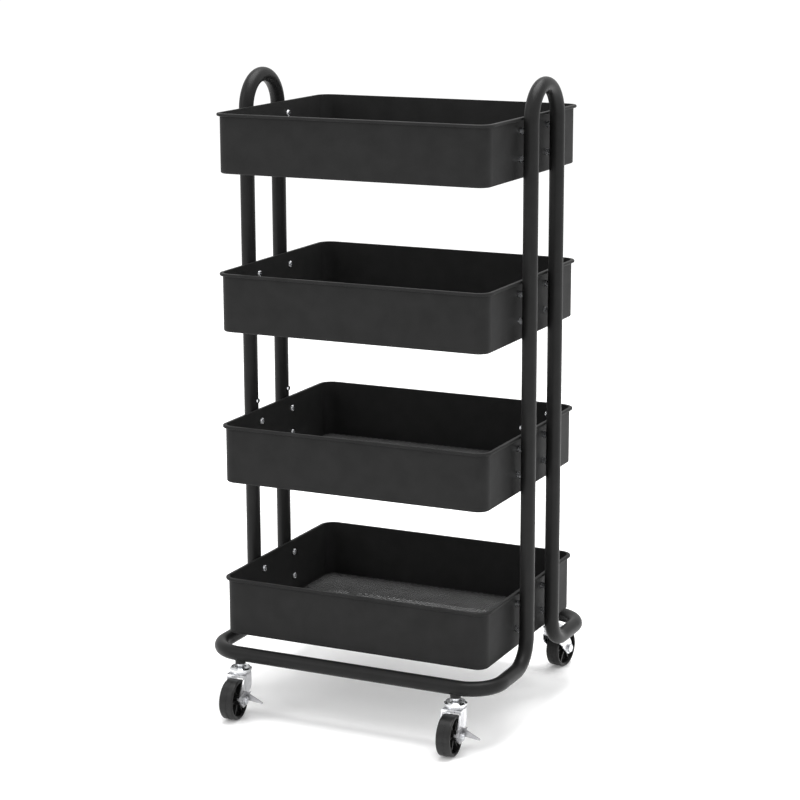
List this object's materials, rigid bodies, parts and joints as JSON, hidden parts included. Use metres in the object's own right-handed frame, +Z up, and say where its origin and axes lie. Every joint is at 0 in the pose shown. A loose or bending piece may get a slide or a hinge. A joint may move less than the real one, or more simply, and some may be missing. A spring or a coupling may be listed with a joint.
{
  "type": "tiered rolling cart",
  "caption": "Tall black rolling cart with stacked pressed-metal trays, mesh floors, bent-tube handle frames and swivel casters with side brakes.",
  "frame": {"origin": "centre of the footprint, on the floor", "axes": "+Z up, +X along the trays towards the right handle frame, -Y towards the front"},
  "size_m": [0.4626, 0.4754, 0.919],
  "materials": {
    "powder_coat": "satin black powder coat",
    "mesh_coat": "satin black powder coat on expanded metal",
    "socket_black": "satin black",
    "zinc": "bright zinc",
    "chrome_cap": "bright plated pressing",
    "fork_zinc": "bright zinc pressing",
    "brake_steel": "dull zinc stamping",
    "bearing_steel": "polished balls",
    "wheel_plastic": "moulded, slightly glossy",
    "tyre_rubber": "smooth hard tread"
  },
  "bodies": {
    "frame": {"handle_frame_left": "powder_coat", "handle_frame_right": "powder_coat", "base_frame_front": "powder_coat", "base_frame_rear": "powder_coat", "caster_sockets": "socket_black", "joint_screws": "zinc", "rivet_nuts": "zinc", "tray_shell_top": "powder_coat", "mesh_floor_top": "mesh_coat", "tray_screws_top": "zinc", "tray_spacers_top": "zinc", "tray_shell_upper": "powder_coat", "mesh_floor_upper": "mesh_coat", "tray_screws_upper": "zinc", "tray_spacers_upper": "zinc", "tray_shell_lower": "powder_coat", "mesh_floor_lower": "mesh_coat", "tray_screws_lower": "zinc", "tray_spacers_lower": "zinc", "tray_shell_bottom": "powder_coat", "mesh_floor_bottom": "mesh_coat", "tray_screws_bottom": "zinc", "tray_spacers_bottom": "zinc", "caster_stem_front_left": "zinc", "bearing_cap_front_left": "chrome_cap", "caster_stem_front_right": "zinc", "bearing_cap_front_right": "chrome_cap", "caster_stem_rear_left": "zinc", "bearing_cap_rear_left": "chrome_cap", "caster_stem_rear_right": "zinc", "bearing_cap_rear_right": "chrome_cap"},
    "swivel_front_left": {"ball_ring_front_left": "bearing_steel", "fork_front_left": "fork_zinc", "axle_bolt_front_left": "zinc", "axle_nut_front_left": "zinc"},
    "wheel_front_left": {"wheel_hub_front_left": "wheel_plastic", "tyre_front_left": "tyre_rubber"},
    "brake_front_left": {"brake_lever_front_left": "brake_steel"},
    "swivel_front_right": {"ball_ring_front_right": "bearing_steel", "fork_front_right": "fork_zinc", "axle_bolt_front_right": "zinc", "axle_nut_front_right": "zinc"},
    "wheel_front_right": {"wheel_hub_front_right": "wheel_plastic", "tyre_front_right": "tyre_rubber"},
    "brake_front_right": {"brake_lever_front_right": "brake_steel"},
    "swivel_rear_left": {"ball_ring_rear_left": "bearing_steel", "fork_rear_left": "fork_zinc", "axle_bolt_rear_left": "zinc", "axle_nut_rear_left": "zinc"},
    "wheel_rear_left": {"wheel_hub_rear_left": "wheel_plastic", "tyre_rear_left": "tyre_rubber"},
    "swivel_rear_right": {"ball_ring_rear_right": "bearing_steel", "fork_rear_right": "fork_zinc", "axle_bolt_rear_right": "zinc", "axle_nut_rear_right": "zinc"},
    "wheel_rear_right": {"wheel_hub_rear_right": "wheel_plastic", "tyre_rear_right": "tyre_rubber"}
  },
  "joints": [
    {"name": "swivel_turn_front_left", "type": "hinge", "parent": "frame", "child": "swivel_front_left", "pos_m": [-0.1705, -0.183, 0.064], "axis": [0, 0, 1], "continuous": true},
    {"name": "wheel_spin_front_left", "type": "hinge", "parent": "swivel_front_left", "child": "wheel_front_left", "pos_m": [-0.16876, -0.20794, 0.0295], "axis": [-0.9976, -0.0698, 0], "continuous": true},
    {"name": "brake_press_front_left", "type": "hinge", "parent": "swivel_front_left", "child": "brake_front_left", "pos_m": [-0.16876, -0.20794, 0.0295], "axis": [-0.9976, -0.0698, 0], "range_deg": [0, 20]},
    {"name": "swivel_turn_front_right", "type": "hinge", "parent": "frame", "child": "swivel_front_right", "pos_m": [0.1705, -0.183, 0.064], "axis": [0, 0, 1], "continuous": true},
    {"name": "wheel_spin_front_right", "type": "hinge", "parent": "swivel_front_right", "child": "wheel_front_right", "pos_m": [0.17224, -0.20794, 0.0295], "axis": [-0.9976, -0.0698, 0], "continuous": true},
    {"name": "brake_press_front_right", "type": "hinge", "parent": "swivel_front_right", "child": "brake_front_right", "pos_m": [0.17224, -0.20794, 0.0295], "axis": [-0.9976, -0.0698, 0], "range_deg": [0, 20]},
    {"name": "swivel_turn_rear_left", "type": "hinge", "parent": "frame", "child": "swivel_rear_left", "pos_m": [-0.1705, 0.183, 0.064], "axis": [0, 0, 1], "continuous": true},
    {"name": "wheel_spin_rear_left", "type": "hinge", "parent": "swivel_rear_left", "child": "wheel_rear_left", "pos_m": [-0.16745, 0.20781, 0.0295], "axis": [0.9925, -0.1219, 0], "continuous": true},
    {"name": "swivel_turn_rear_right", "type": "hinge", "parent": "frame", "child": "swivel_rear_right", "pos_m": [0.1705, 0.183, 0.064], "axis": [0, 0, 1], "continuous": true},
    {"name": "wheel_spin_rear_right", "type": "hinge", "parent": "swivel_rear_right", "child": "wheel_rear_right", "pos_m": [0.17355, 0.20781, 0.0295], "axis": [0.9925, -0.1219, 0], "continuous": true}
  ]
}
